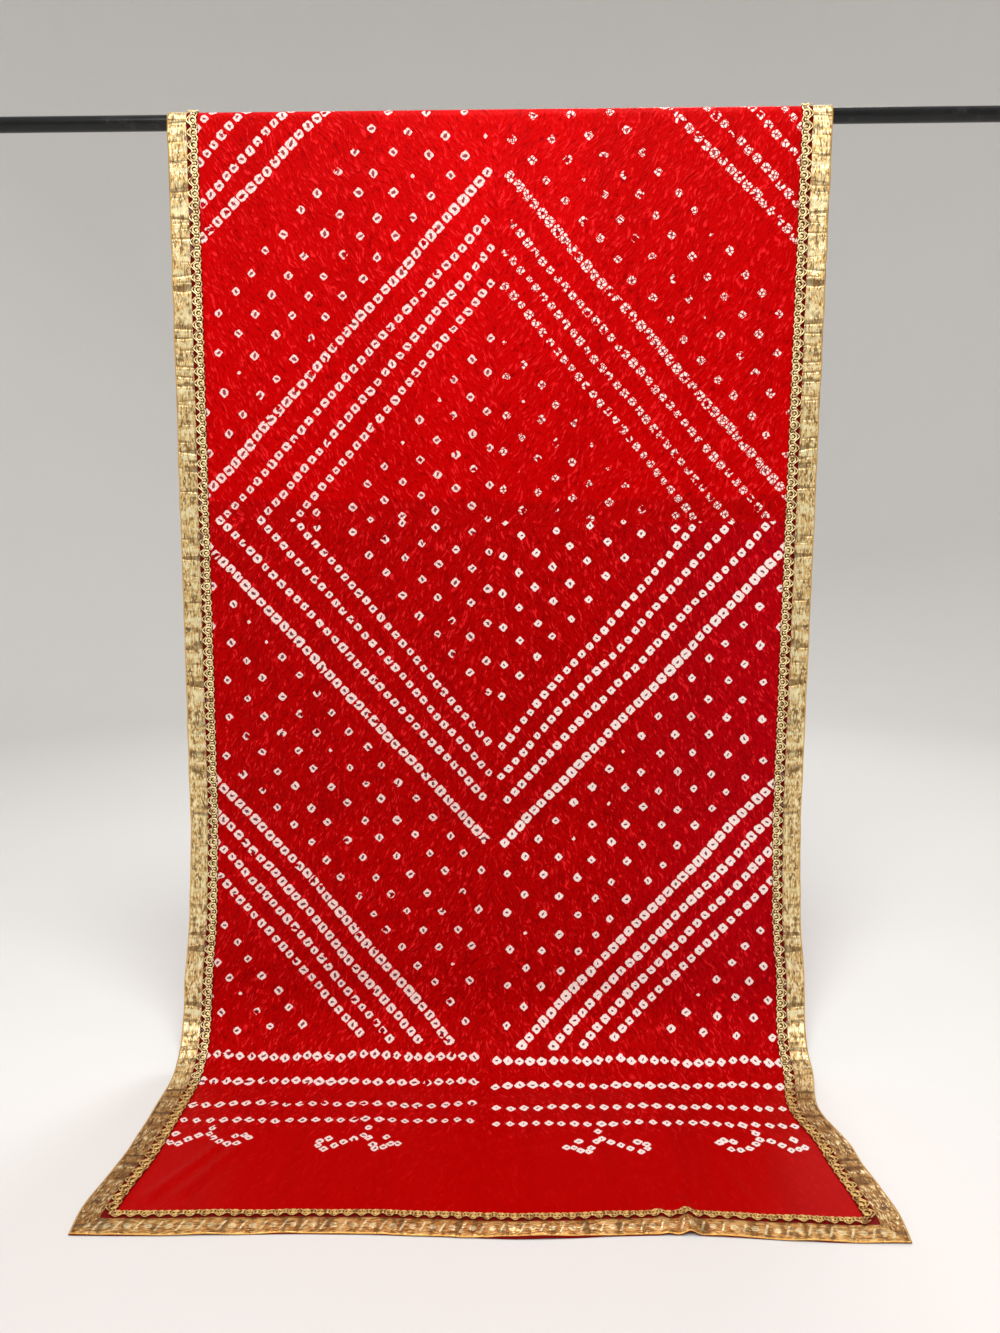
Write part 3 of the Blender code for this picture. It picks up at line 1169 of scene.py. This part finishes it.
# A ribbon along one edge, with mitred ends. atLow means the edge at -X or at the back, from which the
# grid counts inwards, and ends are the mitres' tips along the edge.
def makeRibbon(name, isSide, atLow, ends, material, seed, node):
    start, end = ends
    across = ribbon["across"]
    along = int((end - start) / ribbon["stepAlong"])
    columns, rows = (across, along) if isSide else (along, across)
    # the front ribbon is sewn on a little short of the edge here, so that the cloth shows below
    shortHere = [{"u": 0.055, "halfWidth": 0.085, "depth": 0.0040}]

    def placeAt(i, j):
        count = i if isSide else j
        inward = ribbon["width"] * (count if atLow else across - count) / across
        share = (j if isSide else i) / along
        return start + inward + (end - start - 2 * inward) * share, inward

    def flatAt(i, j):
        place, inward = placeAt(i, j)
        lift = ribbon["lift"] + pucker(place, inward, seed)
        wander = inward - rimWander(place, inward, seed)
        if isSide:
            u = drape["halfWidth"] - wander
            return (-u if atLow else u), place, lift
        if atLow:
            return place, backEnd + wander, lift
        wander += swell(shortHere, place) * (1 - inward / ribbon["width"])
        return place, frontEnd - wander, lift

    def bakeAt(i, j, faceRow):
        inShare = placeAt(i, j)[1] / ribbon["width"]
        return stackedMap(j / rows, inShare, faceRow, rows) if isSide else (i / columns, inShare)

    obj = gridSheet(name, columns, rows, flatAt, bakeAt, material, ribbon["thick"])
    fillMap(obj.data, "stripSize", columns, lambda i, j, faceRow: placeAt(i, j))
    return finishPiece(obj, "gold_ribbon", node)


# A long narrow strip folded onto the bake map in eight lanes.
def stackedMap(along, across, faceRow, rows):
    lanes = 8
    lane = min(int(faceRow * lanes / rows), lanes - 1)
    start = math.ceil(lane * rows / lanes) / rows
    return (along - start) * lanes * 0.98 + 0.005, (lane + 0.04 + 0.92 * across) / lanes


sideGold = ribbonMaterial("goldRibbonSides", 0.0)
endGold = ribbonMaterial("goldRibbonEnds", 1.0)
downSpan = (backEnd, frontEnd)
crossSpan = (-drape["halfWidth"], drape["halfWidth"])
ribbons = [
    makeRibbon("ribbonLeft", True, True, downSpan, sideGold, 1.3, "ribbon_left"),
    makeRibbon("ribbonRight", True, False, downSpan, sideGold, 5.9, "ribbon_right"),
    makeRibbon("ribbonFront", False, False, crossSpan, endGold, 9.4, "ribbon_front"),
    makeRibbon("ribbonBack", False, True, crossSpan, endGold, 12.8, "ribbon_back"),
]
print("ribbons made:", sum(len(r.data.polygons) for r in ribbons), "faces")

# The looped braid.

braid = {
    "pitch": 0.0157,
    "ringRadius": 0.0044,
    "ringWire": 0.0012,
    "boss": 0.0021,
    "knot": 0.0017,
    "zigWire": 0.0009,
    "zigReach": 0.0086,  # from the middle of the rings out towards the ribbon
    "picotReach": 0.0056,
    "middle": 0.0356,  # the rings' middle, in from the cloth's edge
    "lift": 0.0012,
    "sway": 0.0005,  # how far it wanders from its line
    "swayScale": 40,
    "bright": (1.000, 0.850, 0.450),
    # painted shade in the gaps between threads, and tarnish
    "dull": (0.300, 0.140, 0.035),
    "floorShade": (0.780, 0.620, 0.400),  # painted shade: what the gold is multiplied by on the floor
    "flatter": 0.72,  # how narrow the end braids look beside the side ones
}


def newGeometryTree(name, inputs):
    tree = bpy.data.node_groups.new(name, "GeometryNodeTree")
    tree.interface.new_socket("Geometry", in_out="INPUT", socket_type="NodeSocketGeometry")
    found = {}
    for label, kind, value in inputs:
        socket = tree.interface.new_socket(label, in_out="INPUT", socket_type=kind)
        socket.default_value = value
        found[label] = socket.identifier
    tree.interface.new_socket("Geometry", in_out="OUTPUT", socket_type="NodeSocketGeometry")
    return tree, Bench(tree), found


# Laid flat, the braid runs along X, with +Y towards the ribbon.
def makeBraidTree():
    tree, bench, sockets = newGeometryTree(
        "loopedBraid",
        [
            ("Count", "NodeSocketInt", 10),
            ("Pitch", "NodeSocketFloat", braid["pitch"]),
            ("Ring Radius", "NodeSocketFloat", braid["ringRadius"]),
            ("Ring Wire", "NodeSocketFloat", braid["ringWire"]),
            ("Knot", "NodeSocketFloat", braid["knot"]),
            ("Zigzag Reach", "NodeSocketFloat", braid["zigReach"]),
            ("Picot Reach", "NodeSocketFloat", braid["picotReach"]),
            ("Gold", "NodeSocketMaterial", None),
        ],
    )
    given = bench.outs(bench.node("NodeGroupInput"))
    count, pitch, ringWire = given["Count"], given["Pitch"], given["Ring Wire"]

    def make(kind, **values):
        return bench.out(bench.fill(bench.node("GeometryNode" + kind), **values))

    def beads(x, y, z, shape):
        start = bench.join(x, y, z)
        line = make("MeshLine", Count=count, Start_Location=start, Offset=bench.join(pitch, 0.0))
        return make("InstanceOnPoints", Points=line, Instance=shape)

    def flatBall(radius, tall):
        ball = make("MeshUVSphere", Segments=10, Rings=5, Radius=radius)
        return make("Transform", Geometry=ball, Scale=(1.0, 1.0, tall))

    def wire(curve, radius, sides):
        profile = make("CurvePrimitiveCircle", Resolution=sides, Radius=radius)
        return make("CurveToMesh", Curve=curve, Profile_Curve=profile, Fill_Caps=True)

    # a thread that swings between two lines, twice in each pitch
    def zigzag(outer, inner, high):
        line = make("MeshLine", Count=count * 2.0 + 1.0, Offset=bench.join(pitch * 0.5, 0.0))
        odd = bench.math("MODULO", make("InputIndex"), 2.0)
        swing = bench.join(0.0, bench.choose(odd, inner, outer), high)
        curve = make("MeshToCurve", Mesh=make("SetPosition", Geometry=line, Offset=swing))
        soft = bench.node("GeometryNodeCurveSplineType", spline_type="CATMULL_ROM")
        soft = bench.out(bench.fill(soft, Curve=curve))
        return wire(make("SetSplineResolution", Geometry=soft, Resolution=4), braid["zigWire"], 5)

    half = pitch * 0.5
    ring = wire(make("CurvePrimitiveCircle", Resolution=16, Radius=given["Ring Radius"]), ringWire, 6)
    boss = flatBall(braid["boss"], 0.32)
    knot = flatBall(given["Knot"], 0.75)
    parts = [
        beads(half, 0.0, ringWire, ring),
        beads(half, 0.0, 0.0004, boss),
        beads(0.0, 0.0015, 0.0010, knot),
        beads(0.0, -0.0017, 0.0010, knot),
        zigzag(given["Zigzag Reach"], 0.0016, 0.0014),
        zigzag(given["Ring Radius"] * -0.42, given["Picot Reach"] * -1.0, 0.0007),
    ]
    gather = bench.node("GeometryNodeJoinGeometry")
    for part in parts:
        bench.put(gather.inputs[0], part)
    smooth = make("SetShadeSmooth", Geometry=make("RealizeInstances", Geometry=bench.out(gather)))
    painted = make("SetMaterial", Geometry=smooth, Material=given["Gold"])
    bench.put(bench.node("NodeGroupOutput").inputs[0], painted)
    return tree, sockets


def braidMaterial():
    material, bench, shader = newMaterial("goldBraid")
    place = bench.place()
    x, y, z = bench.split(place)
    threads = bench.group(
        threadGroup,
        Along=z + y * 0.7,
        Across=x + z * 0.4,
        Threads=1400.0,
        Glitter=520.0,
    )
    aging = bench.noise(place, 60.0, 2.0)
    onFloor = bench.smooth(y, rodY - floorForward + 0.04, rodY - floorForward)
    # painted shade in the gaps between threads; the aging patches are tarnish
    color = bench.layers(
        braid["dull"],
        (threads["Shade"], braid["bright"]),
        (bench.smooth(aging, 0.55, 0.75) * 0.35, braid["dull"]),
        # painted shade: the braid darker on the floor
        (onFloor, braid["floorShade"], "MULTIPLY"),
    )
    rough = 0.42 - threads["Glint"] * 0.12
    bench.fill(shader, Base_Color=color, Roughness=rough, Metallic=threads["Shade"] * 0.15 + 0.35)
    bench.bump(shader, threads["Height"], 0.0004, 0.6)
    return material


braidTree, braidSockets = makeBraidTree()
braidGold = braidMaterial()


# ends are along the edge. toFlat turns (along, inward) into (u, s).
def makeBraid(name, ends, mirrored, toFlat, node, flattened=1.0):
    start, end = ends
    count = round((end - start) / braid["pitch"])
    middle = braid["middle"] - braid["zigReach"] * (1 - flattened)
    stretch = (end - start) / (count * braid["pitch"])
    blank = putInScene(name + "Flat", bpy.data.meshes.new(name + "Flat"))
    modifier = blank.modifiers.new("braid", "NODES")
    modifier.node_group = braidTree
    modifier[braidSockets["Count"]] = count
    modifier[braidSockets["Gold"]] = braidGold
    graph = bpy.context.evaluated_depsgraph_get()
    mesh = bpy.data.meshes.new_from_object(blank.evaluated_get(graph))
    mesh.name = name
    bpy.data.objects.remove(blank)
    for vertex in mesh.vertices:
        along, toRibbon, high = vertex.co
        toRibbon, high = toRibbon * flattened, high * flattened
        along = start + along * stretch
        sway = braid["sway"] * wave(along * braid["swayScale"], 0.0, len(name))
        u, s = toFlat(along, middle - toRibbon + sway)
        vertex.co = clothPoint(u, s, braid["lift"] + high)
    if mirrored:
        mesh.flip_normals()
    mesh.update()
    return finishPiece(putInScene(name, mesh), "gold_braid", node)


halfWidth = drape["halfWidth"]
inset, flatter = braid["middle"], braid["flatter"]
along = (backEnd + inset, frontEnd - inset)
across = (inset - halfWidth, halfWidth - inset)
braids = [
    makeBraid("braidLeft", along, True, lambda a, w: (w - halfWidth, a), "braid_left"),
    makeBraid("braidRight", along, False, lambda a, w: (halfWidth - w, a), "braid_right"),
    makeBraid("braidFront", across, True, lambda a, w: (a, frontEnd - w), "braid_front", flatter),
    makeBraid("braidBack", across, False, lambda a, w: (a, backEnd + w), "braid_back", flatter),
]
print("braids made:", sum(len(b.data.polygons) for b in braids), "faces")

# The rod.

rod = {"sides": 72, "chamfer": 0.0012, "color": (0.004, 0.004, 0.0045), "dust": (0.05, 0.05, 0.05)}


def rodMaterial():
    material, bench, shader = newMaterial("rodBlack")
    place = bench.place()
    x, y, z = bench.split(place)
    drawn = bench.noise(bench.join(x * 6.0, y * 90.0, z * 90.0), 3.0, 3.0)
    dust = bench.smooth(bench.noise(place, 45.0, 3.0), 0.52, 0.75)
    color = bench.tint(dust * 0.25, rod["color"], rod["dust"])
    bench.fill(shader, Base_Color=color, Roughness=drawn * 0.10 + 0.20, Specular_IOR_Level=0.35)
    bench.bump(shader, drawn, 0.0001, 0.4)
    return material


def makeRod():
    radius = (rodHigh.z - rodLow.z) / 2
    half = (rodHigh.x - rodLow.x) / 2
    cut = rod["chamfer"]
    outline = [(-half, radius - cut), (-half + cut, radius), (half - cut, radius), (half, radius - cut)]
    points, faces = [], []
    for x, r in outline:
        for k in range(rod["sides"]):
            angle = 2 * math.pi * k / rod["sides"]
            points.append((x, rodY + r * math.cos(angle), rodZ + r * math.sin(angle)))
    sides = rod["sides"]
    for ring in range(len(outline) - 1):
        for k in range(sides):
            a, b = ring * sides + k, ring * sides + (k + 1) % sides
            faces.append((a, b, b + sides, a + sides))
    faces.append(tuple(reversed(range(sides))))
    faces.append(tuple(range(3 * sides, 4 * sides)))
    mesh = bpy.data.meshes.new("rodBar")
    mesh.from_pydata(points, [], faces)
    mesh.flip_normals()
    mesh.shade_smooth()
    mesh.set_sharp_from_angle(angle=math.radians(30))
    mesh.materials.append(rodMaterial())
    return finishPiece(putInScene("rodBar", mesh), "rod_black", "rod")


makeRod()
print("rod made")

# The cloth's length, end to end.

round(frontEnd - backEnd, 3)
